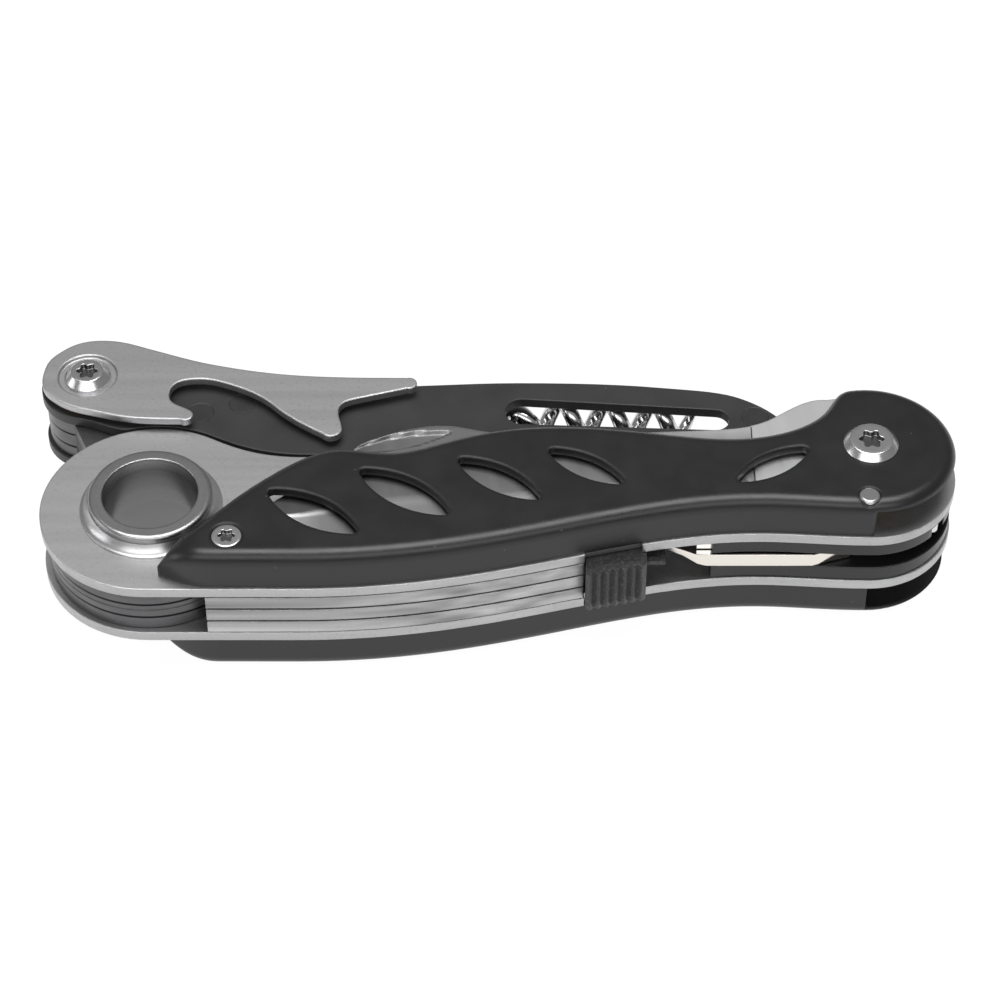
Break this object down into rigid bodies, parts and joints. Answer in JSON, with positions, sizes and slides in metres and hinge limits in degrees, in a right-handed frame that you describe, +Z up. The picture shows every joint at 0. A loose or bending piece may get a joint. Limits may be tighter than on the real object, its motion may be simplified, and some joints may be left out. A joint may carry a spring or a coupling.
{
  "type": "multi tool",
  "caption": "Folding pliers multi tool, closed, with black scales on steel liners, a hollow eyelet pivot, knife, screwdriver, corkscrew and bottle-opener lever.",
  "frame": {"origin": "middle of the closed tool's footprint, on the surface it lies on", "axes": "+X along the handles towards the knife pivot, +Y towards the rear handle, +Z up through the stacked layers"},
  "size_m": [0.108, 0.0392, 0.0195],
  "materials": {
    "black_scale": "satin black coating",
    "brushed_liner": "brushed, polished edge",
    "eyelet_steel": "turned",
    "spring_steel": "bright brushed",
    "black_block": "semi-gloss black",
    "polished_screw": "polished",
    "sleeve_steel": "plain turned",
    "bearing_washer": "bronze",
    "slider_polymer": "rough moulded",
    "blade_steel": "satin ground",
    "nickel_plate": "nickel plated",
    "plier_steel": "dark oxide, tumbled",
    "black_plate": "satin black coating",
    "black_rivet": "burnished black",
    "worm_steel": "drawn wire",
    "lever_steel": "brushed, tumbled edge"
  },
  "bodies": {
    "front_handle": {"upper_scale": "black_scale", "lower_scale": "black_scale", "upper_liner": "brushed_liner", "lower_liner": "brushed_liner", "pivot_eyelet": "eyelet_steel", "eyelet_clinch_ring": "eyelet_steel", "upper_boss_washer": "eyelet_steel", "lower_boss_washer": "eyelet_steel", "back_spring_lower": "spring_steel", "back_spring_middle": "spring_steel", "back_spring_upper": "spring_steel", "spring_rivets": "sleeve_steel", "tool_block": "black_block", "block_pins": "polished_screw", "knife_barrel": "sleeve_steel", "knife_screw": "polished_screw", "knife_washers": "bearing_washer", "lower_pivot_spacer": "sleeve_steel", "stop_pin": "polished_screw", "scale_screws": "polished_screw", "scale_standoffs": "sleeve_steel", "lock_leaf": "spring_steel"},
    "slide_lock": {"lock_slider": "slider_polymer"},
    "knife": {"main_blade": "blade_steel"},
    "driver": {"screwdriver": "nickel_plate"},
    "tang_half": {"plier_half_upper": "plier_steel"},
    "free_half": {"plier_half_lower": "plier_steel"},
    "rear_handle": {"rear_plate_upper": "black_plate", "rear_plate_lower": "black_plate", "rear_spring": "black_plate", "rear_tip_spacer": "sleeve_steel", "rear_rivets": "black_rivet", "worm_pin": "sleeve_steel", "lever_barrel": "sleeve_steel", "lever_washer": "bearing_washer", "lever_screw": "polished_screw"},
    "cork_worm": {"corkscrew": "worm_steel"},
    "opener_lever": {"lever": "lever_steel"}
  },
  "joints": [
    {"name": "pliers_swing", "type": "hinge", "parent": "front_handle", "child": "tang_half", "pos_m": [-0.0394, -0.0067, 0.0093], "axis": [0, 0, 1], "range_deg": [0, 165]},
    {"name": "jaw_opening", "type": "hinge", "parent": "tang_half", "child": "free_half", "pos_m": [-0.0394, -0.0067, 0.0093], "axis": [0, 0, 1], "range_deg": [0, 28]},
    {"name": "rear_handle_fold", "type": "hinge", "parent": "tang_half", "child": "rear_handle", "pos_m": [-0.0484, 0.0135, 0.0093], "axis": [0, 0, 1], "range_deg": [0, 180]},
    {"name": "lever_swing", "type": "hinge", "parent": "rear_handle", "child": "opener_lever", "pos_m": [-0.0484, 0.0135, 0.0093], "axis": [0, 0, 1], "range_deg": [0, 180]},
    {"name": "corkscrew_swing", "type": "hinge", "parent": "rear_handle", "child": "cork_worm", "pos_m": [-0.001, 0.0108, 0.0093], "axis": [0, 0, 1], "range_deg": [0, 110]},
    {"name": "knife_swing", "type": "hinge", "parent": "front_handle", "child": "knife", "pos_m": [0.0438, -0.0014, 0.0093], "axis": [0, 0, -1], "range_deg": [0, 180]},
    {"name": "screwdriver_swing", "type": "hinge", "parent": "front_handle", "child": "driver", "pos_m": [0.0438, -0.0014, 0.0093], "axis": [0, 0, 1], "range_deg": [0, 180]},
    {"name": "lock_slide", "type": "slide", "parent": "front_handle", "child": "slide_lock", "axis": [1, 0, 0], "range_m": [0, 0.0035]}
  ]
}
